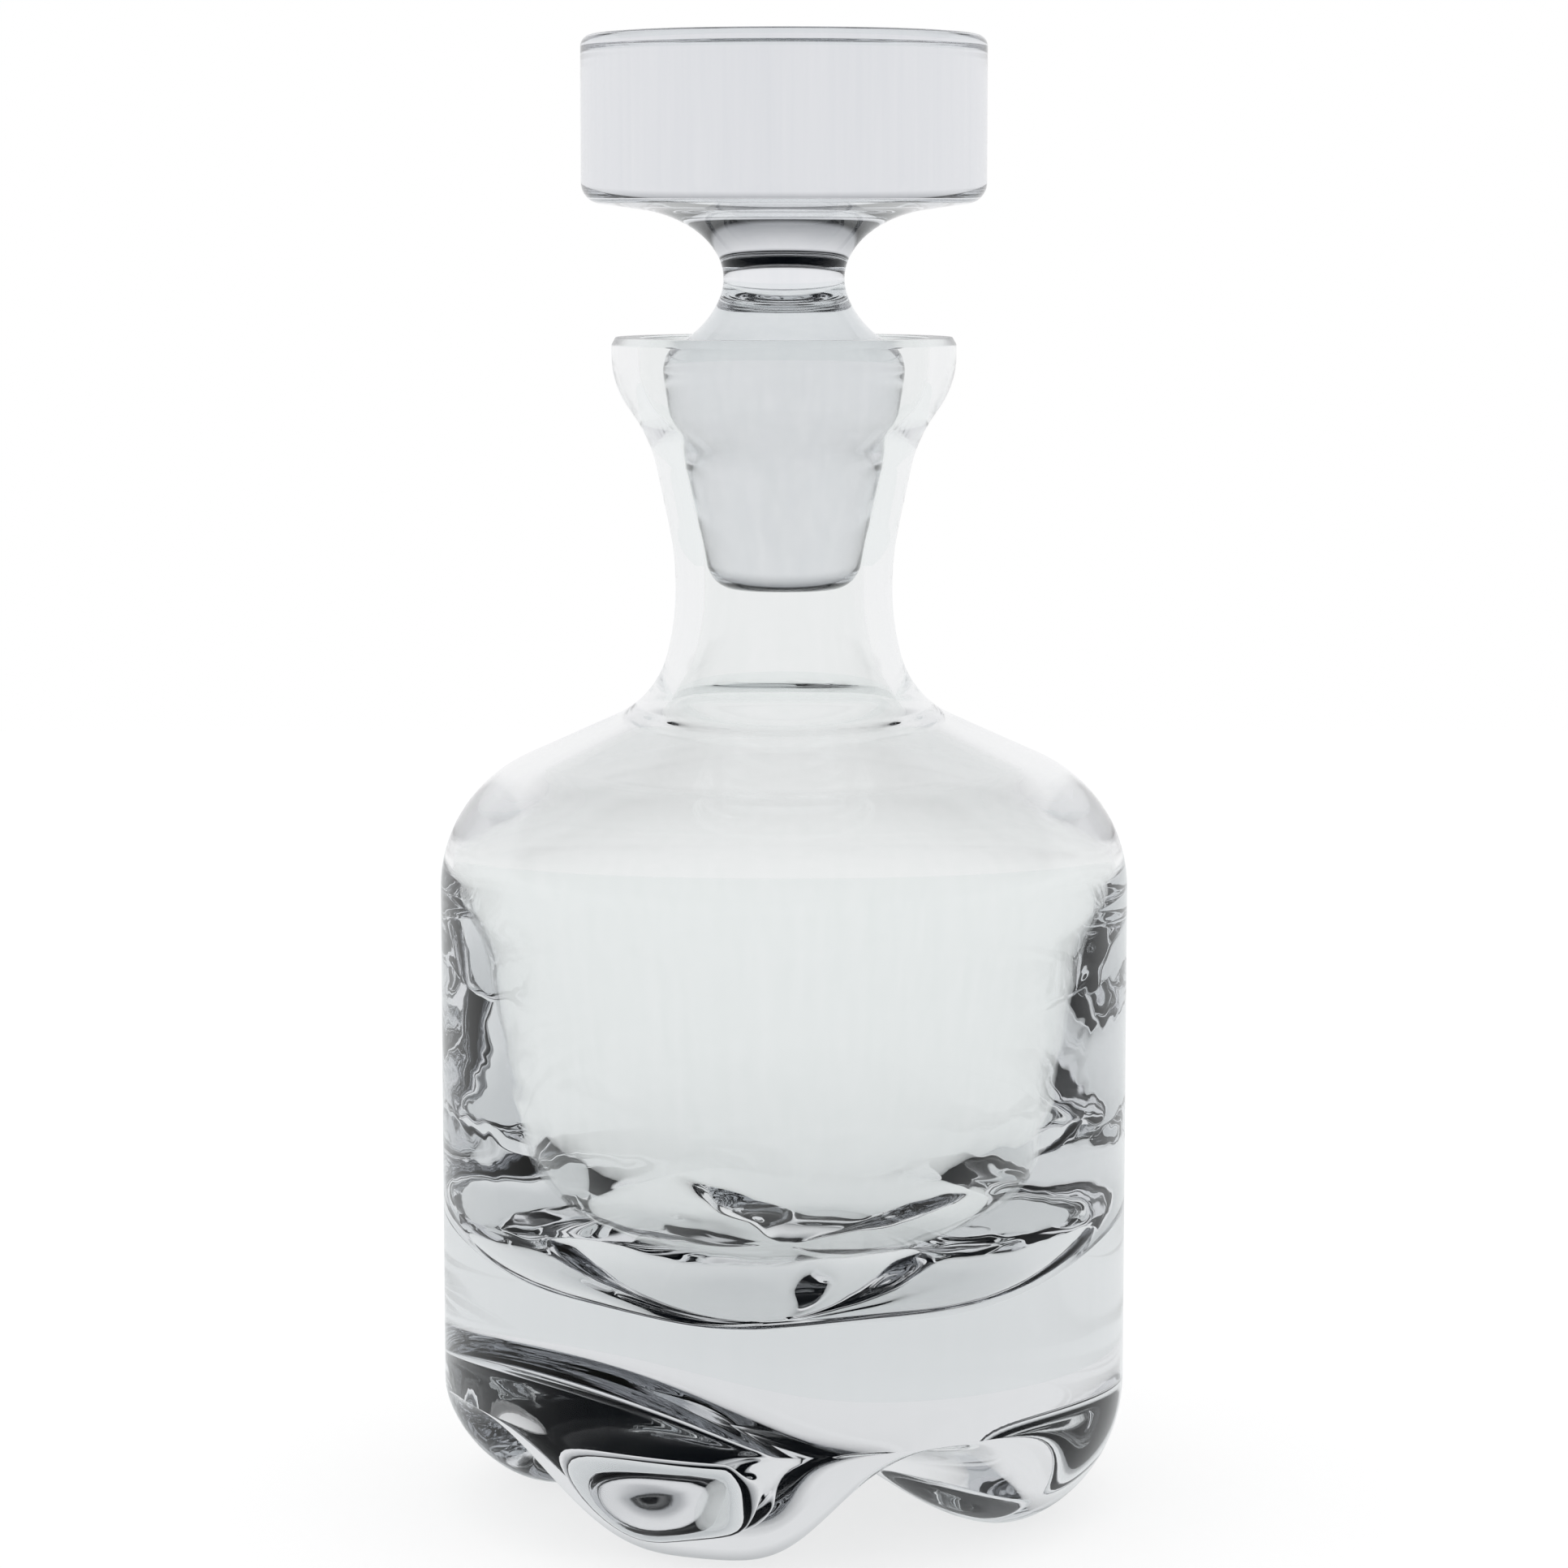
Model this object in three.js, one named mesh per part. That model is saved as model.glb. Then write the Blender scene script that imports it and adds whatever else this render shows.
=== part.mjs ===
// A clear glass decanter: a heavy bottle on four rounded feet, and the solid stopper in its neck.
// Millimetres, +Z up. The origin is on the table in the middle of the feet, and the front is -Y.
import * as THREE from "three";

// Bore and mouth
const boreRadius = 13.6; // inside the neck
const neckWall = 4.8; // at the neck's waist
const seatWidening = 4.1; // how much wider than the bore the ground seat is at its top
const seatTaper = 0.215; // how much the seat's radius falls for each mm down
const seatDepth = 17.6; // lip to the top of the ground seat
const seatRounding = 3; // where the seat runs into the cup above it and the bore below it
const cupWidening = 6.9; // how much wider than the seat the cup inside the mouth is
const cupDepth = 7.6; // lip to where the cup draws in towards the seat
const cupRounding = 4;
const lipWidth = 3.8; // ground flat ring on top of the mouth
const lipBevelWidth = 0.7;
const lipBevelHeight = 1.3;
const lipHeight = 6.7; // upright part of the mouth, below the bevel
const mouthFlareHeight = 9; // underside of the mouth, where it spreads from the neck
const mouthRounding = 5;
const mouthRootRounding = 5.2; // where the neck turns out into the mouth

// Neck and shoulder
const neckTopFlare = 4.2; // how much wider than its waist the neck is below the mouth
const neckTopLength = 19.9; // from there down to the waist
const waistLength = 10.6;
const waistRounding = 5;
const neckRootLength = 13.5; // waist to where the neck meets the shoulder
const neckRootFlare = 3.2; // how much wider than its waist the neck is there
const neckRootRounding = 8;
const boreRootLength = 10.4; // inside, from the neck root up to where the bore starts to widen
const boreRootFlare = 6.9;
const boreRootRounding = 3;
const shoulderPitch = 24.3; // slope of the shoulder, degrees
const shoulderRounding = 15.5; // how far from its corner the shoulder's curve starts
const shoulderWall = 4.4; // measured upright

// Body
const bodyRadius = 58.7;
const shoulderHeight = 121.9; // table to the corner of the side and the shoulder
const sideWallTop = 2.1; // just below the shoulder
const sideWallMiddle = 3.8; // where the wall starts to thicken evenly
const sideWallBottom = 16.4; // at the corner of the chamber's side and its floor
const thinWallLength = 16.2; // shoulder corner to where the wall first swells inwards
const wallSwellLength = 8; // from there to where it thickens evenly
const chamberRounding = 6;
const floorGlass = 25.4; // middle of the underside to the chamber's floor
const floorRounding = 26.5;
const floorWave = 0.5; // how far the floor sinks over a foot and rises between two feet

// Feet
const feetCount = 4;
const firstFootTurn = -18.3; // front foot, degrees from -Y towards +X
const footRadius = 39.9; // middle of the base to the lowest point of a foot
const footHeelHeight = 21.6; // how high the outer rounding of a foot reaches
const footWear = 0.4; // how much of the rounded foot is ground flat to stand on
const archHeight = 22; // table to the edge of an arch in the side of the bottle
const archEdgeHeight = 1; // how far below that edge its curve turns up into the side
const archLevelShare = 0.27; // how far out the curve of an arch is drawn level
const archNarrowing = 2.1; // 1 gives arches as wide as the feet, and more gives narrower arches
const hollowHeight = 11.1; // table to the middle of the underside
const archesMeet = 0.27; // share of the way out to the feet over which the arches run together
const archShareInMiddle = 0.2; // how far the middle is arched, between foot and arch

// Stopper
const seatGap = 0.3; // between the plug and the ground seat
const plugReach = 24.7; // top of the seat to the bottom of the plug
const plugRounding = 3; // where the seated part runs into the wider band
const plugBottomRounding = 4.6;
const plugBandRise = 4; // top of the seat to the edge of the wider band of the plug
const plugBandGap = 1.25; // between that edge and the cup
const plugShoulderGap = 3.8; // between the plug's shoulder and the cup
const plugShoulderDepth = 2.8; // lip to the corner of the shoulder
const plugShoulderRounding = 3;
const coneWidening = 5.2; // how much wider than the stem the foot of the cone under it is
const coneFootRise = 0.4; // lip to the foot of the cone
const coneFootRounding = 2;
const stemRadius = 10.2;
const stemBottomRise = 5.7; // lip to the corner of the stem and the cone
const stemBottomRounding = 6;
const stemLength = 13.7;
const stemTopRounding = 14;
const headRadius = 34.1;
const headUnderRise = 3.3; // how far the disc's underside climbs from the stem to the rim
const headUnderRounding = 3.1;
const headHeight = 27.6;
const headTopRounding = 2;

// How finely the round shapes are cut
const bottleColumns = 48;
const stopperColumns = 40;
const roundingSteps = 4;
const heelSteps = 6;
const floorSteps = 6;

const glassColour = 0xe4e9ec;

// Radii and heights that the two pieces share
const neckRadius = boreRadius + neckWall;
const seatRadius = boreRadius + seatWidening;
const cupRadius = seatRadius + cupWidening;
const mouthRadius = cupRadius + lipWidth + lipBevelWidth;
const shoulderFall = Math.tan(THREE.MathUtils.degToRad(shoulderPitch));
const neckRootRadius = neckRadius + neckRootFlare;
const neckRootHeight = shoulderAt(neckRootRadius);
const waistBottom = neckRootHeight + neckRootLength;
const waistTop = waistBottom + waistLength;
const mouthBottom = waistTop + neckTopLength;
const lipBottom = mouthBottom + mouthFlareHeight;
const lipTop = lipBottom + lipHeight + lipBevelHeight;
const seatTop = lipTop - seatDepth;
const floorHeight = hollowHeight + floorGlass;
const wearStart = Math.acos(1 - (2 * hollowHeight) / (hollowHeight + footWear)) / Math.PI;
const wearEnd = 1 + Math.acos(1 - footWear / (footHeelHeight + footWear)) / (Math.PI / 2);
const sideBottom = Math.max(archHeight, footHeelHeight);

// Height of the outside of the shoulder at a radius.
function shoulderAt(radius) {
  return shoulderHeight + (bodyRadius - radius) * shoulderFall;
}

// An outline of straight lines with rounded corners, as points of radius and height. Each corner is
// [radius, height, rounding], and rounding is how far from the corner its arc starts.
function roundedOutline(corners) {
  const points = [];
  corners.forEach(([radius, height, rounding = 0], index) => {
    const corner = new THREE.Vector2(radius, height);
    if (rounding === 0) {
      points.push(corner);
      return;
    }
    const start = arcEnd(corner, rounding, corners[index - 1]);
    const end = arcEnd(corner, rounding, corners[index + 1]);
    const turn = Math.PI - start.clone().sub(corner).angleTo(end.clone().sub(corner));
    const handle = ((4 / 3) * Math.tan(turn / 4)) / Math.tan(turn / 2);
    const arc = new THREE.CubicBezierCurve(
      start,
      start.clone().lerp(corner, handle),
      end.clone().lerp(corner, handle),
      end,
    );
    points.push(...arc.getPoints(roundingSteps));
  });
  return points;
}

// Where a corner's arc meets the line to the next corner. Two arcs that would meet share the line.
function arcEnd(corner, rounding, [radius, height, nextRounding = 0]) {
  const next = new THREE.Vector2(radius, height);
  const length = corner.distanceTo(next);
  const reach = Math.min(rounding, (length * rounding) / (rounding + nextRounding));
  return corner.clone().lerp(next, reach / length);
}

// Share of the arch's height at an angle from a foot: 0 on the foot, 1 half way to the next one.
function archShare(angle) {
  return (Math.sin((angle * feetCount) / 2) ** 2) ** archNarrowing;
}

// The outline of a foot, and of an arch half way between two feet. Reach runs from 0 in the middle of
// the base to 1 where a foot is lowest and on to 2 in the side of the bottle.
function footAt(reach) {
  const footHeight = -footWear;
  if (reach <= 1) {
    const fall = (1 - Math.cos(Math.PI * reach)) / 2;
    return new THREE.Vector2(footRadius * reach, THREE.MathUtils.lerp(hollowHeight, footHeight, fall));
  }
  const turn = ((reach - 1) * Math.PI) / 2;
  const radius = THREE.MathUtils.lerp(footRadius, bodyRadius, Math.sin(turn));
  const height = THREE.MathUtils.lerp(footHeight, footHeelHeight, 1 - Math.cos(turn));
  return new THREE.Vector2(radius, height);
}

const archOutline = new THREE.CubicBezierCurve(
  new THREE.Vector2(0, hollowHeight),
  new THREE.Vector2(archLevelShare * bodyRadius, hollowHeight),
  new THREE.Vector2(bodyRadius, archHeight - archEdgeHeight),
  new THREE.Vector2(bodyRadius, archHeight),
);

// A point of the underside at an angle from a foot, as radius and height.
function undersideAt(angle, reach) {
  const spread = THREE.MathUtils.smoothstep(reach, 0, archesMeet);
  const arch = THREE.MathUtils.lerp(archShareInMiddle, archShare(angle), spread);
  const place = footAt(reach).lerp(archOutline.getPoint(reach / 2), arch);
  return [place.x, Math.max(place.y, 0)];
}

// Height of the chamber's floor above its plain bowl: it sinks over the feet and rises between them.
function floorWaveAt(angle, radius, floorRadius) {
  const share = Math.min(radius / floorRadius, 1);
  const swell = (27 / 4) * share ** 2 * (1 - share);
  return -floorWave * Math.cos(angle * feetCount) * swell;
}

// The bottle as rings, from the middle of the underside out, up the side, over the lip and down
// inside to the middle of the floor. Each ring gives radius and height at an angle from a foot.
function bottleRings() {
  const rings = [];
  for (let step = 1; step <= floorSteps; step++) {
    rings.push((angle) => undersideAt(angle, (wearStart * step) / floorSteps));
  }
  rings.push((angle) => undersideAt(angle, 1));
  for (let step = 0; step <= heelSteps; step++) {
    rings.push((angle) => undersideAt(angle, wearEnd + ((2 - wearEnd) * step) / heelSteps));
  }

  const outside = roundedOutline([
    [bodyRadius, sideBottom],
    [bodyRadius, shoulderHeight, shoulderRounding],
    [neckRootRadius, neckRootHeight, neckRootRounding],
    [neckRadius, waistBottom, waistRounding],
    [neckRadius, waistTop, waistRounding],
    [neckRadius + neckTopFlare, mouthBottom, mouthRootRounding],
    [mouthRadius, lipBottom, mouthRounding],
    [mouthRadius, lipTop - lipBevelHeight],
    [mouthRadius - lipBevelWidth, lipTop],
  ]).slice(1);

  const boreRootRadius = boreRadius + boreRootFlare;
  const chamberRadius = bodyRadius - sideWallTop;
  const wallSwellTop = shoulderHeight - thinWallLength;
  const floorRadius = bodyRadius - sideWallBottom;
  const inside = roundedOutline([
    [cupRadius, lipTop],
    [cupRadius, lipTop - cupDepth, cupRounding],
    [seatRadius, seatTop, seatRounding],
    [boreRadius, seatTop - seatWidening / seatTaper, seatRounding],
    [boreRadius, neckRootHeight + boreRootLength, neckRootRounding],
    [boreRootRadius, shoulderAt(boreRootRadius) - shoulderWall, boreRootRounding],
    [chamberRadius, shoulderAt(chamberRadius) - shoulderWall, shoulderRounding],
    [chamberRadius, wallSwellTop, chamberRounding],
    [bodyRadius - sideWallMiddle, wallSwellTop - wallSwellLength, chamberRounding],
    [floorRadius, floorHeight, floorRounding],
    [0, floorHeight],
  ]).slice(0, -1);
  const flatRadius = inside.at(-1).x;
  for (let step = 1; step < floorSteps / 2; step++) {
    inside.push(new THREE.Vector2(flatRadius * (1 - (2 * step) / floorSteps), floorHeight));
  }

  for (const { x: radius, y: height } of outside) {
    rings.push(() => [radius, height]);
  }
  for (const { x: radius, y: height } of inside) {
    const isFloor = radius < floorRadius && height < neckRootHeight / 2;
    rings.push((angle) => {
      return [radius, height + (isFloor ? floorWaveAt(angle, radius, floorRadius) : 0)];
    });
  }
  return rings;
}

// A closed skin over rings of equal columns, with a point on the axis at each end.
function ringGeometry(rings, columns, startTurn, startHeight, endHeight) {
  const positions = [0, 0, startHeight];
  for (const ringAt of rings) {
    for (let column = 0; column < columns; column++) {
      const angle = (column / columns) * 2 * Math.PI;
      const [radius, height] = ringAt(angle);
      const turn = startTurn + angle;
      positions.push(radius * Math.sin(turn), -radius * Math.cos(turn), height);
    }
  }
  positions.push(0, 0, endHeight);

  const faces = [];
  const vertexAt = (ring, column) => 1 + ring * columns + (column % columns);
  const last = 1 + rings.length * columns;
  for (let column = 0; column < columns; column++) {
    faces.push(0, vertexAt(0, column + 1), vertexAt(0, column));
    for (let ring = 1; ring < rings.length; ring++) {
      const [a, b] = [vertexAt(ring - 1, column), vertexAt(ring - 1, column + 1)];
      const [c, d] = [vertexAt(ring, column + 1), vertexAt(ring, column)];
      faces.push(a, b, c, a, c, d);
    }
    faces.push(vertexAt(rings.length - 1, column), vertexAt(rings.length - 1, column + 1), last);
  }
  const geometry = new THREE.BufferGeometry();
  geometry.setAttribute("position", new THREE.Float32BufferAttribute(positions, 3));
  geometry.setIndex(faces);
  geometry.computeVertexNormals();
  return geometry;
}

// The stopper's outline from the bottom of the plug to the top of the disc, measured from the top of
// the seat.
function stopperOutline() {
  const plugRadius = seatRadius - seatGap;
  const cupWallSlope = cupWidening / (seatDepth - cupDepth);
  const lip = seatDepth;
  const headBottom = lip + stemBottomRise + stemLength;
  return roundedOutline([
    [0, -plugReach],
    [plugRadius - plugReach * seatTaper, -plugReach, plugBottomRounding],
    [plugRadius, 0, plugRounding],
    [seatRadius + plugBandRise * cupWallSlope - plugBandGap, plugBandRise, plugRounding],
    [cupRadius - plugShoulderGap, lip - plugShoulderDepth, plugShoulderRounding],
    [stemRadius + coneWidening, lip + coneFootRise, coneFootRounding],
    [stemRadius, lip + stemBottomRise, stemBottomRounding],
    [stemRadius, headBottom, stemTopRounding],
    [headRadius, headBottom + headUnderRise, headUnderRounding],
    [headRadius, headBottom + headUnderRise + headHeight, headTopRounding],
    [0, headBottom + headUnderRise + headHeight],
  ]);
}

function glassMaterial() {
  return new THREE.MeshStandardMaterial({
    color: glassColour,
    roughness: 0.05,
    metalness: 0,
    transparent: true,
    opacity: 0.35,
  });
}

function makeBottle() {
  const turn = THREE.MathUtils.degToRad(firstFootTurn);
  const geometry = ringGeometry(bottleRings(), bottleColumns, turn, hollowHeight, floorHeight);
  const bottle = new THREE.Mesh(geometry, glassMaterial());
  bottle.name = "bottle";
  return bottle;
}

function makeStopper() {
  const geometry = new THREE.LatheGeometry(stopperOutline(), stopperColumns);
  geometry.rotateX(Math.PI / 2);
  const stopper = new THREE.Mesh(geometry, glassMaterial());
  stopper.name = "stopper";
  stopper.position.z = seatTop;
  return stopper;
}

const decanter = new THREE.Group();
decanter.add(makeBottle(), makeStopper());

export default decanter;
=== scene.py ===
# A clear glass decanter on four rounded feet, and the solid glass stopper in its neck.
# Metres, +Z up, front at -Y. The sizes of the glass are given in millimetres, and those of the table,
# the lamps and the camera in metres.
import math

import bpy
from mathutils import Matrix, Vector


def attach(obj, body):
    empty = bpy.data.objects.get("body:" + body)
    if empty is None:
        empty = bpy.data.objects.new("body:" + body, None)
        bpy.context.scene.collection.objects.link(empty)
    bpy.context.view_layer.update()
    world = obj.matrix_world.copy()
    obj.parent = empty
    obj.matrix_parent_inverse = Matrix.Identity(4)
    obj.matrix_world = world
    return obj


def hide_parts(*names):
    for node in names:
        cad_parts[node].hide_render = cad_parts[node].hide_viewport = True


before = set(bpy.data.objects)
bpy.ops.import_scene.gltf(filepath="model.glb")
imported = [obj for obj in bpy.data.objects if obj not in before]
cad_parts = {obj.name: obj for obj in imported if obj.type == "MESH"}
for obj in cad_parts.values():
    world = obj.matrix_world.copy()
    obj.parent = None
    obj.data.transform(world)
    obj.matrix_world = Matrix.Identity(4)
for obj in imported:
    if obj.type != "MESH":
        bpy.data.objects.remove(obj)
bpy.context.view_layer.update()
scene = bpy.context.scene
mm = 0.001


def linear(hexColour):
    # sRGB hex to the linear colour that a shader socket takes
    channels = [int(hexColour[i:i + 2], 16) / 255 for i in (1, 3, 5)]
    return tuple(c / 12.92 if c <= 0.04045 else ((c + 0.055) / 1.055) ** 2.4 for c in channels) + (1.0,)


def addNode(tree, kind, inputs=None, **settings):
    # inputs gives each socket a value, or another node or one of its outputs to link from
    node = tree.nodes.new(kind)
    for key, value in settings.items():
        setattr(node, key, value)
    for key, value in (inputs or {}).items():
        if isinstance(value, bpy.types.Node):
            value = value.outputs[0]
        if isinstance(value, bpy.types.NodeSocket):
            tree.links.new(value, node.inputs[key])
        else:
            node.inputs[key].default_value = value
    return node


def lerp(a, b, share):
    return a + (b - a) * share


def linkToScene(obj):
    scene.collection.objects.link(obj)
    return obj


# How finely the round shapes are cut
fineness = {
    "columns": 240,
    "arcStep": 4.0,  # degrees of turn for each row of a rounding
    "fewestArcSteps": 3,
    "sharpRounding": 0.16,  # what a sharp ground edge really has
    "shortestRow": 0.12, "rowAfterArc": 0.4, "longestRow": 5.0,
    "rowGrowth": 1.5,  # rows spread out by this much from a rounding along a straight stretch
    "rowToEnd": 0.05,  # a row nearer than this to the end of its stretch is left out
    "weld": 0.004,
}


def roundedOutline(corners):
    # Straight lines with rounded corners, as in the CAD source. Each corner is radius, height and
    # rounding, which is how far from the corner its arc starts.
    spots = [Vector((radius, height)) for radius, height, *_ in corners]
    roundings = [corner[2] if len(corner) > 2 else fineness["sharpRounding"] for corner in corners]
    roundings[0] = roundings[-1] = 0.0
    points = [spots[0]]
    for i in range(1, len(corners) - 1):
        ends = []
        for other in (i - 1, i + 1):
            length = (spots[other] - spots[i]).length
            shared = length * roundings[i] / (roundings[i] + roundings[other])
            ends.append(spots[i].lerp(spots[other], min(roundings[i], shared) / length))
        turn = math.pi - (ends[0] - spots[i]).angle(ends[1] - spots[i])
        handle = (4 / 3) * math.tan(turn / 4) / math.tan(turn / 2)
        near, far = (end.lerp(spots[i], handle) for end in ends)
        steps = max(fineness["fewestArcSteps"], math.ceil(math.degrees(turn) / fineness["arcStep"]))
        arc = []
        for step in range(steps + 1):
            t = step / steps
            arc.append((1 - t) ** 3 * ends[0] + 3 * t * (1 - t) ** 2 * near
                       + 3 * t ** 2 * (1 - t) * far + t ** 3 * ends[1])
        points += straightRows(points[-1], arc[0], len(points) > 1, (arc[1] - arc[0]).length)
        points += arc
    points += straightRows(points[-1], spots[-1], True, fineness["longestRow"])
    points.append(spots[-1])
    return points


def straightRows(start, end, afterArc, lastStep):
    # Rows along a straight stretch, close together near the roundings, so that the shading of a
    # rounding does not run on into the straight glass.
    length = (end - start).length
    firstStep = fineness["rowAfterArc"] if afterArc else fineness["longestRow"]
    rows = []
    for first, turnedRound in ((firstStep, False), (lastStep, True)):
        step = min(max(first, fineness["shortestRow"]), fineness["longestRow"])
        place = step
        while place < length / 2:
            rows.append(length - place if turnedRound else place)
            step = min(step * fineness["rowGrowth"], fineness["longestRow"])
            place += step
    rows.sort()
    nearest = fineness["rowToEnd"]
    return [start.lerp(end, row / length) for row in rows if nearest < row < length - nearest]


def makeTurnedGlassTree():
    # Turns an outline (points with radius in X and height in Z) round the axis. Two attributes on the
    # outline shape the base: archShift moves a row towards its place in an arch, and floorWave lowers
    # it over a foot and lifts it between two feet.
    tree = bpy.data.node_groups.new("turned glass", "GeometryNodeTree")
    sockets = tree.interface
    sockets.new_socket("Outline", in_out="INPUT", socket_type="NodeSocketGeometry")
    for name, kind, value in (
        ("Columns", "NodeSocketInt", fineness["columns"]),
        ("Feet", "NodeSocketInt", 4),
        ("First foot turn", "NodeSocketFloat", 0.0),
        ("Arch narrowing", "NodeSocketFloat", 1.0),
    ):
        sockets.new_socket(name, in_out="INPUT", socket_type=kind).default_value = value
    sockets.new_socket("Glass", in_out="INPUT", socket_type="NodeSocketMaterial")
    sockets.new_socket("Geometry", in_out="OUTPUT", socket_type="NodeSocketGeometry")

    given = addNode(tree, "NodeGroupInput").outputs
    outline = given["Outline"]
    rows = addNode(tree, "GeometryNodeAttributeDomainSize", {"Geometry": outline}).outputs["Point Count"]
    around = addNode(tree, "FunctionNodeIntegerMath", {0: given["Columns"], 1: 1}, operation="ADD")
    grid = addNode(tree, "GeometryNodeMeshGrid", {"Vertices X": around, "Vertices Y": rows})

    # The grid's points are numbered row after row, column by column.
    index = addNode(tree, "GeometryNodeInputIndex")
    column = addNode(tree, "FunctionNodeIntegerMath", {0: index, 1: rows}, operation="DIVIDE")
    row = addNode(tree, "FunctionNodeIntegerMath", {0: index, 1: rows}, operation="MODULO")

    # What the outline says for this row
    onRow = {}
    told = (("position", "FLOAT_VECTOR"), ("archShift", "FLOAT_VECTOR"), ("floorWave", "FLOAT"))
    for name, kind in told:
        attribute = addNode(tree, "GeometryNodeInputNamedAttribute", {"Name": name}, data_type=kind)
        onRow[name] = addNode(tree, "GeometryNodeSampleIndex",
                              {"Geometry": outline, "Value": attribute, "Index": row}, data_type=kind)

    # How far this column is in an arch: 0 on a foot, 1 half way to the next
    part = addNode(tree, "ShaderNodeMath", {0: column, 1: given["Columns"]}, operation="DIVIDE")
    angle = addNode(tree, "ShaderNodeMath", {0: part, 1: 2 * math.pi}, operation="MULTIPLY")
    footAngle = addNode(tree, "ShaderNodeMath", {0: angle, 1: given["Feet"]}, operation="MULTIPLY")
    cosine = addNode(tree, "ShaderNodeMath", {0: footAngle}, operation="COSINE")
    arched = addNode(tree, "ShaderNodeMapRange", {"Value": cosine, "From Min": 1.0, "From Max": -1.0})
    share = addNode(tree, "ShaderNodeMath", {0: arched, 1: given["Arch narrowing"]}, operation="POWER")

    shift = addNode(tree, "ShaderNodeVectorMath",
                    {0: onRow["archShift"], "Scale": share}, operation="SCALE")
    placed = addNode(tree, "ShaderNodeVectorMath", {0: onRow["position"], 1: shift}, operation="ADD")
    radius, _, rise = addNode(tree, "ShaderNodeSeparateXYZ", {0: placed}).outputs
    wave = addNode(tree, "ShaderNodeMath", {0: cosine, 1: onRow["floorWave"]}, operation="MULTIPLY")
    waved = addNode(tree, "ShaderNodeMath", {0: rise, 1: wave}, operation="SUBTRACT")
    worn = addNode(tree, "ShaderNodeMath", {0: waved, 1: 0.0}, operation="MAXIMUM")

    # The front is -Y, and the first foot is turned from there.
    unturned = addNode(tree, "ShaderNodeCombineXYZ", {"Y": radius, "Z": worn})
    turn = addNode(tree, "ShaderNodeMath", {0: angle, 1: given["First foot turn"]}, operation="ADD")
    turnFromFront = addNode(tree, "ShaderNodeMath", {0: turn, 1: math.pi}, operation="ADD")
    turned = addNode(tree, "ShaderNodeVectorRotate", {"Vector": unturned, "Angle": turnFromFront})

    shaped = addNode(tree, "GeometryNodeSetPosition", {"Geometry": grid, "Position": turned})
    welded = addNode(tree, "GeometryNodeMergeByDistance", {
        "Geometry": shaped, "Distance": fineness["weld"] * mm})
    smooth = addNode(tree, "GeometryNodeSetShadeSmooth", {"Geometry": welded})
    solid = addNode(tree, "GeometryNodeRealizeInstances", {"Geometry": smooth})
    glassed = addNode(tree, "GeometryNodeSetMaterial", {"Geometry": solid, "Material": given["Glass"]})
    addNode(tree, "NodeGroupOutput", {"Geometry": glassed})
    return tree


def turnGlass(name, rows, inputs):
    # rows: radius, height, how far an arch moves them (radius, height), and the floor wave
    outline = bpy.data.meshes.new(name + " outline")
    outline.from_pydata([(radius * mm, 0, height * mm) for radius, height, *_ in rows], [], [])
    outline.attributes.new("archShift", "FLOAT_VECTOR", "POINT")
    outline.attributes.new("floorWave", "FLOAT", "POINT")
    for i, (_, _, outwards, upwards, floorWave) in enumerate(rows):
        outline.attributes["archShift"].data[i].vector = (outwards * mm, 0, upwards * mm)
        outline.attributes["floorWave"].data[i].value = floorWave * mm
    seed = linkToScene(bpy.data.objects.new(name + " outline", outline))
    modifier = seed.modifiers.new("turned glass", "NODES")
    modifier.node_group = turnedGlassTree
    for socket in turnedGlassTree.interface.items_tree:
        if socket.in_out == "INPUT" and socket.name in inputs:
            modifier[socket.identifier] = inputs[socket.name]
    evaluated = seed.evaluated_get(bpy.context.evaluated_depsgraph_get())
    mesh = bpy.data.meshes.new_from_object(evaluated)
    mesh.name = name
    bpy.data.objects.remove(seed)
    piece = linkToScene(bpy.data.objects.new(name, mesh))
    print(name, len(rows), "rows,", len(mesh.polygons), "faces")
    return piece


turnedGlassTree = makeTurnedGlassTree()


def addRipples(tree, place, normal, ripples):
    # Ripples on the inside of the blown chamber, which no mould touched: low down and off the middle.
    # Each share runs from 0 to 1 between two radii or two heights.
    height = addNode(tree, "ShaderNodeSeparateXYZ", {0: place}).outputs["Z"]
    level = addNode(tree, "ShaderNodeVectorMath", {0: place, 1: (1, 1, 0)}, operation="MULTIPLY")
    radius = addNode(tree, "ShaderNodeVectorMath", {0: level}, operation="LENGTH").outputs["Value"]
    amount = 1.0
    for along, start, end in ((radius, "middle", "fullRadius"), (radius, "outside", "inside"),
                              (height, "top", "fullHeight"), (height, "below", "floor")):
        share = addNode(tree, "ShaderNodeMapRange", {
            "Value": along, "From Min": ripples[start] * mm, "From Max": ripples[end] * mm})
        amount = addNode(tree, "ShaderNodeMath", {0: amount, 1: share}, operation="MULTIPLY")
    bumps = addNode(tree, "ShaderNodeTexNoise", {
        "Vector": place, "Scale": 1 / (ripples["size"] * mm), "Detail": 1.0, "Roughness": 0.5})
    return addNode(tree, "ShaderNodeBump", {
        "Strength": amount, "Distance": ripples["depth"] * mm, "Height": bumps, "Normal": normal})


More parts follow.
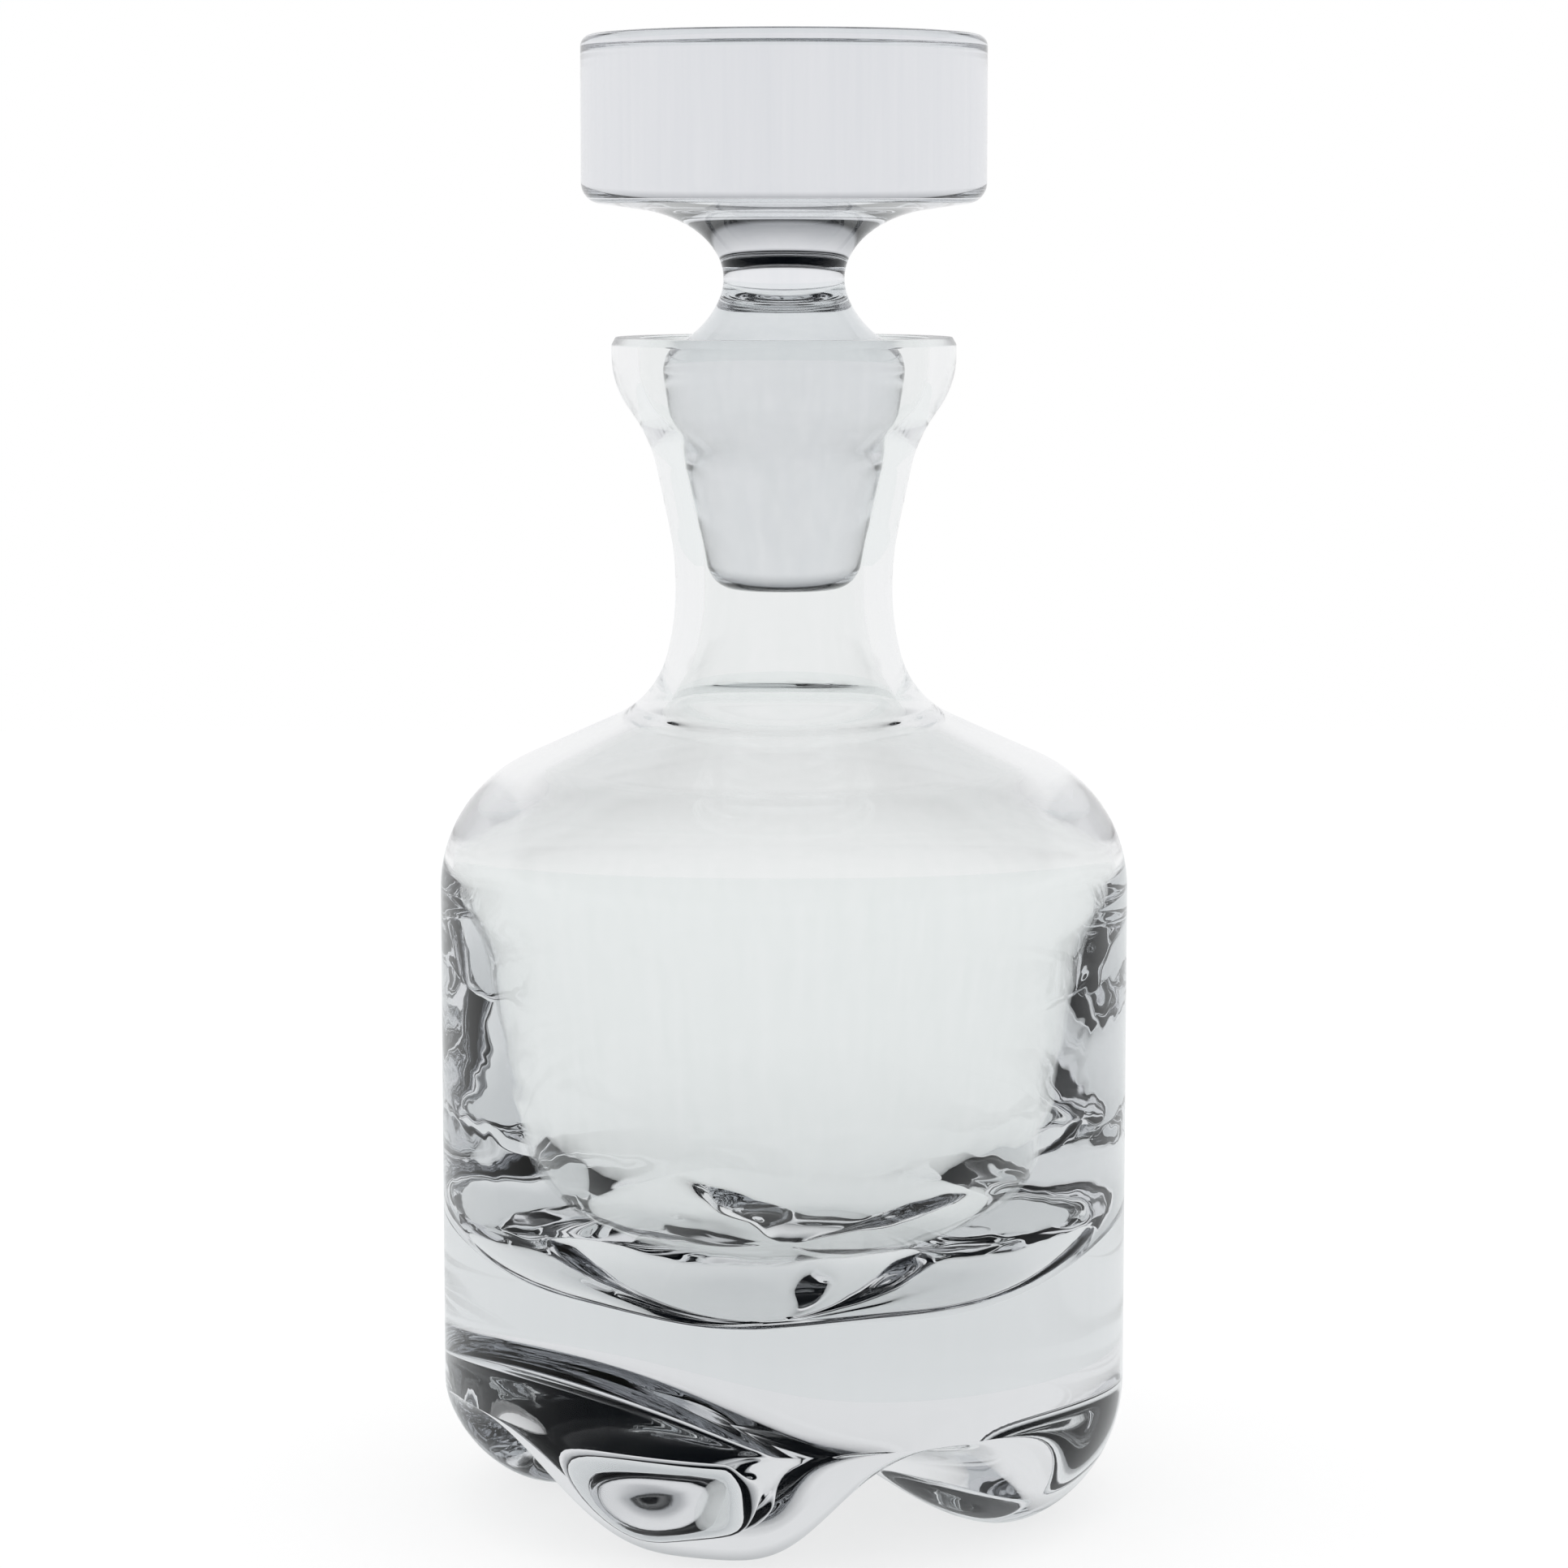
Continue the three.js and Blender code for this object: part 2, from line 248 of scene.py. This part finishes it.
def makeGlass(name, look):
    material = bpy.data.materials.new(name)
    material.use_nodes = True
    tree = material.node_tree
    tree.nodes.clear()
    place = addNode(tree, "ShaderNodeTexCoord").outputs["Object"]

    # Glass that was blown or pressed while hot keeps slow waves in its skin.
    waveScale = tuple(1 / (size * mm) for size in look["waveSize"])
    waves = addNode(tree, "ShaderNodeTexNoise", {
        "Vector": addNode(tree, "ShaderNodeMapping", {"Vector": place, "Scale": waveScale}),
        "Scale": 1.0, "Detail": 1.5, "Roughness": 0.45})
    waved = addNode(tree, "ShaderNodeBump", {
        "Strength": 1.0, "Distance": look["waveHeight"] * mm, "Height": waves})
    if "ripples" in look:
        waved = addRipples(tree, place, waved, look["ripples"])

    # What was ground with grit stays satin: the lip of the bottle, and the plug of the stopper.
    height = addNode(tree, "ShaderNodeSeparateXYZ", {0: place}).outputs["Z"]
    roughness = addNode(tree, "ShaderNodeMapRange", {
        "Value": height, "From Min": (look["changesAt"] - look["changeLength"]) * mm,
        "From Max": look["changesAt"] * mm,
        "To Min": look["roughnessBelow"], "To Max": look["roughnessAbove"]})

    # Faint upright streaks, where the glass was drawn and wiped.
    streakScale = tuple(1 / (size * mm) for size in look["streakSize"])
    streaks = addNode(tree, "ShaderNodeTexNoise", {
        "Vector": addNode(tree, "ShaderNodeMapping", {"Vector": place, "Scale": streakScale}),
        "Scale": 1.0, "Detail": 3.0, "Roughness": 0.6})
    tint = addNode(tree, "ShaderNodeMix", {
        "Factor": streaks.outputs["Fac"], "A": linear(look["colour"]), "B": linear(look["streakColour"])},
        data_type="RGBA")

    glass = addNode(tree, "ShaderNodeBsdfPrincipled", {
        "Base Color": tint.outputs["Result"], "Roughness": roughness, "IOR": look["ior"],
        "Transmission Weight": 1.0, "Specular Tint": linear(look["sheen"]), "Normal": waved})
    # Light that reaches the table through the glass keeps most of its strength.
    clear = addNode(tree, "ShaderNodeBsdfTransparent", {"Color": linear(look["shadowColour"])})
    isShadow = addNode(tree, "ShaderNodeLightPath").outputs["Is Shadow Ray"]
    surface = addNode(tree, "ShaderNodeMixShader", {"Fac": isShadow, 1: glass, 2: clear})
    depth = addNode(tree, "ShaderNodeVolumeAbsorption", {
        "Color": linear(look["depthColour"]), "Density": look["depthDensity"]})
    addNode(tree, "ShaderNodeOutputMaterial", {"Surface": surface, "Volume": depth})
    return material


# What the two kinds of clear soda-lime glass have in common: they bend the room behind them, and turn
# a cool grey where they are thick.
clearGlass = {
    "sheen": "#505050",  # the room's faint second reflections are dimmer than bare glass gives
    "ior": 1.52,
    "changeLength": 0.1,  # polished glass turns satin over this height
    "shadowColour": "#e8ecee",
    "depthColour": "#e6e7e9",
    "depthDensity": 10.0,
}
# Blown in a mould and polished in the flame: smooth and colourless, with slow waves, ripples inside,
# and a cool grey in the thick base. The lip, from just under its flat top at 199.65, is ground satin.
blownGlassLook = {
    **clearGlass,
    "colour": "#fcfcfc",
    "streakColour": "#f5f7f6",
    "streakSize": (2.5, 2.5, 60),
    "waveSize": (30, 30, 60),
    "waveHeight": 0.012,
    "ripples": {"size": 9, "depth": 0.17, "middle": 26, "fullRadius": 42, "outside": 57.6, "inside": 57.0,
                "top": 105, "fullHeight": 60, "below": 33, "floor": 34},
    "roughnessBelow": 0.0,
    "changesAt": 198.4,
    "roughnessAbove": 0.22,
}
# Cast solid and polished: colourless, with faint upright polishing streaks. The lower plug, where it
# was ground to its seat, is satin.
castGlassLook = {
    **clearGlass,
    "colour": "#f9f9fa",
    "streakColour": "#eaecef",
    "streakSize": (1.6, 1.6, 60),
    "waveSize": (24, 24, 80),
    "waveHeight": 0.006,
    "roughnessBelow": 0.06,
    "changesAt": 186,
    "roughnessAbove": 0.0,
}

blownGlass = makeGlass("mould-blown clear glass", blownGlassLook)
castGlass = makeGlass("cast and polished clear glass", castGlassLook)


bottle = {
    # bore and mouth
    "boreRadius": 13.6, "neckWall": 4.8,
    "seatWidening": 4.1, "seatTaper": 0.215, "seatDepth": 17.6, "seatRounding": 3,
    "cupWidening": 6.9, "cupDepth": 7.6, "cupRounding": 4,
    "lipWidth": 3.8, "lipBevelWidth": 0.7, "lipBevelHeight": 1.3, "lipHeight": 6.7,
    "lipInnerRounding": 0.4,
    "mouthFlareHeight": 9, "mouthRounding": 5, "mouthRootRounding": 5.2,
    # neck and shoulder
    "neckTopFlare": 4.2, "neckTopLength": 19.9, "waistLength": 10.6, "waistRounding": 5,
    "neckRootLength": 13.5, "neckRootFlare": 3.2, "neckRootRounding": 8,
    "boreRootLength": 10.4, "boreRootFlare": 6.9, "boreRootRounding": 3,
    "shoulderPitch": 24.3, "shoulderRounding": 15.5, "shoulderWall": 4.4,
    # body
    "bodyRadius": 58.6, "shoulderHeight": 121.9,
    "sideWallTop": 2.1, "sideWallMiddle": 3.8, "sideWallBottom": 16.4,
    "thinWallLength": 16.2, "wallSwellLength": 8, "chamberRounding": 6,
    "floorGlass": 25.4, "floorRounding": 26.5, "floorWave": 0.5,
    # feet
    "feet": 4, "firstFootTurn": -18.3, "footRadius": 39.9, "footHeelHeight": 21.6, "footWear": 0.4,
    "archHeight": 22, "archEdgeHeight": 1, "archLevelShare": 0.27, "archNarrowing": 2.1,
    "hollowHeight": 11.1, "archesMeet": 0.27, "archShareInMiddle": 0.2,
    "undersideRows": 56, "heelRows": 34,
}
b = bottle
seatRadius = b["boreRadius"] + b["seatWidening"]
cupRadius = seatRadius + b["cupWidening"]
neckRadius = b["boreRadius"] + b["neckWall"]
mouthRadius = cupRadius + b["lipWidth"] + b["lipBevelWidth"]
shoulderFall = math.tan(math.radians(b["shoulderPitch"]))


def shoulderAt(radius):
    return b["shoulderHeight"] + (b["bodyRadius"] - radius) * shoulderFall


neckRootRadius = neckRadius + b["neckRootFlare"]
neckRootHeight = shoulderAt(neckRootRadius)
waistBottom = neckRootHeight + b["neckRootLength"]
waistTop = waistBottom + b["waistLength"]
mouthBottom = waistTop + b["neckTopLength"]
lipBottom = mouthBottom + b["mouthFlareHeight"]
lipTop = lipBottom + b["lipHeight"] + b["lipBevelHeight"]
seatTop = lipTop - b["seatDepth"]
floorHeight = b["hollowHeight"] + b["floorGlass"]


def footAt(reach):
    # Reach runs from 0 in the middle of the base to 1 where a foot is lowest and on to 2 in the side.
    if reach <= 1:
        fall = (1 - math.cos(math.pi * reach)) / 2
        return Vector((b["footRadius"] * reach, lerp(b["hollowHeight"], -b["footWear"], fall)))
    turn = (reach - 1) * math.pi / 2
    return Vector((lerp(b["footRadius"], b["bodyRadius"], math.sin(turn)),
                   lerp(-b["footWear"], b["footHeelHeight"], 1 - math.cos(turn))))


def archAt(reach):
    # The curve of an arch half way between two feet
    t = reach / 2
    level = Vector((b["archLevelShare"] * b["bodyRadius"], b["hollowHeight"]))
    edge = Vector((b["bodyRadius"], b["archHeight"] - b["archEdgeHeight"]))
    return ((1 - t) ** 3 * Vector((0, b["hollowHeight"])) + 3 * t * (1 - t) ** 2 * level
            + 3 * t ** 2 * (1 - t) * edge + t ** 3 * Vector((b["bodyRadius"], b["archHeight"])))


def undersideRow(reach):
    # The underside is straight between foot and arch, so one row holds a place and a shift.
    share = min(reach / b["archesMeet"], 1)
    spread = share * share * (3 - 2 * share)
    place = footAt(reach).lerp(archAt(reach), b["archShareInMiddle"] * (1 - spread))
    shift = (archAt(reach) - footAt(reach)) * spread
    return (*place, *shift, 0.0)


def bottleRows():
    rows = [undersideRow(i / b["undersideRows"]) for i in range(b["undersideRows"])]
    rows += [undersideRow(1 + i / b["heelRows"]) for i in range(b["heelRows"] + 1)]
    sideBottom = max(b["archHeight"], b["footHeelHeight"])
    outside = roundedOutline([
        (b["bodyRadius"], sideBottom),
        (b["bodyRadius"], b["shoulderHeight"], b["shoulderRounding"]),
        (neckRootRadius, neckRootHeight, b["neckRootRounding"]),
        (neckRadius, waistBottom, b["waistRounding"]),
        (neckRadius, waistTop, b["waistRounding"]),
        (neckRadius + b["neckTopFlare"], mouthBottom, b["mouthRootRounding"]),
        (mouthRadius, lipBottom, b["mouthRounding"]),
        (mouthRadius, lipTop - b["lipBevelHeight"]),
        (mouthRadius - b["lipBevelWidth"], lipTop),
        (cupRadius + b["lipWidth"] / 2, lipTop),
    ])
    rows += [(point.x, point.y, 0.0, 0.0, 0.0) for point in outside[1:]]

    boreRootRadius = b["boreRadius"] + b["boreRootFlare"]
    chamberRadius = b["bodyRadius"] - b["sideWallTop"]
    swellTop = b["shoulderHeight"] - b["thinWallLength"]
    floorRadius = b["bodyRadius"] - b["sideWallBottom"]
    inside = roundedOutline([
        (cupRadius + b["lipWidth"] / 2, lipTop),
        (cupRadius, lipTop, b["lipInnerRounding"]),
        (cupRadius, lipTop - b["cupDepth"], b["cupRounding"]),
        (seatRadius, seatTop, b["seatRounding"]),
        (b["boreRadius"], seatTop - b["seatWidening"] / b["seatTaper"], b["seatRounding"]),
        (b["boreRadius"], neckRootHeight + b["boreRootLength"], b["neckRootRounding"]),
        (boreRootRadius, shoulderAt(boreRootRadius) - b["shoulderWall"], b["boreRootRounding"]),
        (chamberRadius, shoulderAt(chamberRadius) - b["shoulderWall"], b["shoulderRounding"]),
        (chamberRadius, swellTop, b["chamberRounding"]),
        (b["bodyRadius"] - b["sideWallMiddle"], swellTop - b["wallSwellLength"], b["chamberRounding"]),
        (floorRadius, floorHeight, b["floorRounding"]),
        (0, floorHeight),
    ])
    for point in inside[1:]:
        wave = 0.0
        onFloor = point.x < floorRadius and point.y < neckRootHeight / 2
        if onFloor:
            # 27/4 brings the wave's highest share to 1.
            share = point.x / floorRadius
            wave = b["floorWave"] * (27 / 4) * share ** 2 * (1 - share)
        rows.append((point.x, point.y, 0.0, 0.0, wave))
    return rows


bottlePiece = turnGlass("decanterBottle", bottleRows(), {
    "Columns": fineness["columns"], "Feet": b["feet"],
    "First foot turn": math.radians(b["firstFootTurn"]),
    "Arch narrowing": b["archNarrowing"], "Glass": blownGlass})
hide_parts("bottle")
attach(bottlePiece, "bottle")


stopper = {
    "seatGap": 0.3, "plugReach": 24.7, "plugRounding": 3, "plugBottomRounding": 4.6,
    "plugBandRise": 4, "plugBandGap": 1.25,
    "plugShoulderGap": 3.8, "plugShoulderDepth": 2.8, "plugShoulderRounding": 3,
    "coneWidening": 5.2, "coneFootRise": 0.4, "coneFootRounding": 2,
    "stemRadius": 10.2, "stemBottomRise": 5.7, "stemBottomRounding": 6,
    "stemLength": 13.7, "stemTopRounding": 14,
    "headRadius": 34.1, "headUnderRise": 3.3, "headUnderRounding": 3.1,
    "headHeight": 27.6, "headTopRounding": 2,
}


def stopperRows():
    s = stopper
    plugRadius = seatRadius - s["seatGap"]
    cupWallSlope = b["cupWidening"] / (b["seatDepth"] - b["cupDepth"])
    headBottom = lipTop + s["stemBottomRise"] + s["stemLength"]
    headTop = headBottom + s["headUnderRise"] + s["headHeight"]
    outline = roundedOutline([
        (0, seatTop - s["plugReach"]),
        (plugRadius - s["plugReach"] * b["seatTaper"], seatTop - s["plugReach"], s["plugBottomRounding"]),
        (plugRadius, seatTop, s["plugRounding"]),
        (seatRadius + s["plugBandRise"] * cupWallSlope - s["plugBandGap"],
         seatTop + s["plugBandRise"], s["plugRounding"]),
        (cupRadius - s["plugShoulderGap"], lipTop - s["plugShoulderDepth"], s["plugShoulderRounding"]),
        (s["stemRadius"] + s["coneWidening"], lipTop + s["coneFootRise"], s["coneFootRounding"]),
        (s["stemRadius"], lipTop + s["stemBottomRise"], s["stemBottomRounding"]),
        (s["stemRadius"], headBottom, s["stemTopRounding"]),
        (s["headRadius"], headBottom + s["headUnderRise"], s["headUnderRounding"]),
        (s["headRadius"], headTop, s["headTopRounding"]),
        (0, headTop),
    ])
    return [(point.x, point.y, 0.0, 0.0, 0.0) for point in outline]


stopperPiece = turnGlass("decanterStopper", stopperRows(), {
    "Columns": fineness["columns"], "Glass": castGlass})
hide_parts("stopper")
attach(stopperPiece, "stopper")
print("glass made")


studio = {
    "tableSize": 2.4,
    "tableDrop": 0.0001,
    "tableColour": "#ffffff",
    "tableWhite": 0.7,  # how much of the table's white is its own, so that a shadow stays
    "tableInGlass": "#e8ebec",
    "skyLight": 1.0,
    "white": "#ffffff",
    "wallLow": "#f9f9fa",
    "wallHigh": "#60656b",
    "fallsOffFrom": 0.3, "fallsOffTo": 0.85,
    "dark": "#05070b",
    # The white wall is the half of the room behind and below, cut off at a lean, and a low white
    # skirting goes all the way round. The rest of the room is dark.
    "wallLean": 0.86, "wallEdge": -0.07, "edgeSoftness": 0.06,
    "skirtingTop": 0.29, "skirtingSoftness": 0.04,
    # A black card lies on the table in front, out of the camera's sight.
    "cardWidth": 0.3, "cardFrom": -0.5, "cardTo": -0.2, "cardLift": 0.0005, "cardColour": "#05070b",
}


def makeFlat(name, left, right, front, back, height):
    mesh = bpy.data.meshes.new(name)
    corners = [(left, front, height), (right, front, height), (right, back, height), (left, back, height)]
    mesh.from_pydata(corners, [], [(0, 1, 2, 3)])
    return linkToScene(bpy.data.objects.new(name, mesh))


def addSeen(tree):
    # 1 for the rays that show a surface to the eye or in glass, 0 for the rays that only light others
    path = addNode(tree, "ShaderNodeLightPath").outputs
    seen = addNode(tree, "ShaderNodeMath",
                   {0: path["Is Camera Ray"], 1: path["Is Glossy Ray"]}, operation="MAXIMUM")
    return path["Is Camera Ray"], addNode(
        tree, "ShaderNodeMath", {0: seen, 1: path["Is Transmission Ray"]}, operation="MAXIMUM")


def makeTable():
    half = studio["tableSize"] / 2
    table = makeFlat("table", -half, half, -half, half, -studio["tableDrop"])
    material = bpy.data.materials.new("white laminate table")
    material.use_nodes = True
    tree = material.node_tree
    tree.nodes.clear()
    isCamera, seen = addSeen(tree)
    matt = addNode(tree, "ShaderNodeBsdfDiffuse", {"Color": linear(studio["tableColour"])})
    own = addNode(tree, "ShaderNodeMix", {
        "Factor": isCamera, "A": linear(studio["tableInGlass"]), "B": linear(studio["white"])},
        data_type="RGBA")
    white = addNode(tree, "ShaderNodeEmission", {"Color": own.outputs["Result"], "Strength": 1.0})
    share = addNode(tree, "ShaderNodeMath", {0: seen, 1: studio["tableWhite"]}, operation="MULTIPLY")
    surface = addNode(tree, "ShaderNodeMixShader", {"Fac": share, 1: matt, 2: white})
    addNode(tree, "ShaderNodeOutputMaterial", {"Surface": surface})
    table.data.materials.append(material)
    return table


def makeCard():
    half = studio["cardWidth"] / 2
    card = makeFlat("black card", -half, half, studio["cardFrom"], studio["cardTo"], studio["cardLift"])
    material = bpy.data.materials.new("black card")
    material.use_nodes = True
    tree = material.node_tree
    tree.nodes.clear()
    matt = addNode(tree, "ShaderNodeBsdfDiffuse", {"Color": linear(studio["cardColour"])})
    addNode(tree, "ShaderNodeOutputMaterial", {"Surface": matt})
    card.data.materials.append(material)
    card.visible_camera = card.visible_shadow = card.visible_diffuse = False
    return card


makeTable()
makeCard()


def makeWorld():
    world = bpy.data.worlds.new("white wall in a dark room")
    world.use_nodes = True
    scene.world = world
    tree = world.node_tree
    tree.nodes.clear()
    direction = addNode(tree, "ShaderNodeTexCoord").outputs["Generated"]
    upwards = addNode(tree, "ShaderNodeSeparateXYZ", {0: direction}).outputs["Z"]
    up = addNode(tree, "ShaderNodeMapRange", {
        "Value": upwards, "From Min": studio["fallsOffFrom"], "From Max": studio["fallsOffTo"]})
    wall = addNode(tree, "ShaderNodeMix", {
        "Factor": up, "A": linear(studio["wallLow"]), "B": linear(studio["wallHigh"])},
        data_type="RGBA")
    lean = Vector((0, studio["wallLean"], -1)).normalized()
    facing = addNode(tree, "ShaderNodeVectorMath", {0: direction, 1: lean}, operation="DOT_PRODUCT")
    onWall = addNode(tree, "ShaderNodeMapRange", {
        "Value": facing.outputs["Value"], "From Min": studio["wallEdge"] - studio["edgeSoftness"],
        "From Max": studio["wallEdge"] + studio["edgeSoftness"]}, interpolation_type="SMOOTHSTEP")
    onSkirting = addNode(tree, "ShaderNodeMapRange", {
        "Value": upwards, "From Min": studio["skirtingTop"] + studio["skirtingSoftness"],
        "From Max": studio["skirtingTop"] - studio["skirtingSoftness"]}, interpolation_type="SMOOTHSTEP")
    share = addNode(tree, "ShaderNodeMath", {0: onWall, 1: onSkirting}, operation="MAXIMUM")
    room = addNode(tree, "ShaderNodeMix", {
        "Factor": share, "A": linear(studio["dark"]), "B": wall.outputs["Result"]}, data_type="RGBA")
    isCamera, seen = addSeen(tree)
    backdrop = addNode(tree, "ShaderNodeMix", {
        "Factor": isCamera, "A": room.outputs["Result"], "B": linear(studio["white"])}, data_type="RGBA")
    seenLight = addNode(tree, "ShaderNodeBackground", {
        "Color": backdrop.outputs["Result"], "Strength": 1.0})
    softLight = addNode(tree, "ShaderNodeBackground", {
        "Color": linear(studio["white"]), "Strength": studio["skyLight"]})
    light = addNode(tree, "ShaderNodeMixShader", {"Fac": seen, 1: softLight, 2: seenLight})
    addNode(tree, "ShaderNodeOutputWorld", {"Surface": light})


makeWorld()
print("table, card and room made")

# The lamps soften the shadow on the table. The glass shows the table and the room, not the lamps.
softBoxes = {
    "left softbox": {"place": (-1.6, -0.3, 1.3), "size": (0.5, 1.0), "watts": 3},
    "high softbox": {"place": (0.2, 0.1, 2.2), "size": (1.6, 1.6), "watts": 6},
}
aim = Vector((0, 0, 0.12))
for name, box in softBoxes.items():
    light = bpy.data.lights.new(name, "AREA")
    light.shape = "RECTANGLE"
    light.size, light.size_y = box["size"]
    light.energy = box["watts"]
    lamp = linkToScene(bpy.data.objects.new(name, light))
    lamp.visible_glossy = lamp.visible_transmission = False
    lamp.location = box["place"]
    lamp.rotation_euler = (aim - lamp.location).to_track_quat("-Z", "Y").to_euler()

view = {"back": 0.761, "height": 0.2168, "downwards": 6.98, "lens": 103.1, "film": 36.0}
cameraData = bpy.data.cameras.new("camera")
cameraData.lens = view["lens"]
cameraData.sensor_width = view["film"]
camera = linkToScene(bpy.data.objects.new("camera", cameraData))
camera.location = (0, -view["back"], view["height"])
camera.rotation_euler = (math.radians(90 - view["downwards"]), 0, 0)
scene.camera = camera
print("lights and camera made")

scene.view_settings.view_transform = "Standard"
# A ray passes many skins of thick glass before it reaches the wall behind.
scene.cycles.max_bounces = 40
scene.cycles.transmission_bounces = 40
scene.cycles.glossy_bounces = 24
scene.cycles.transparent_max_bounces = 24
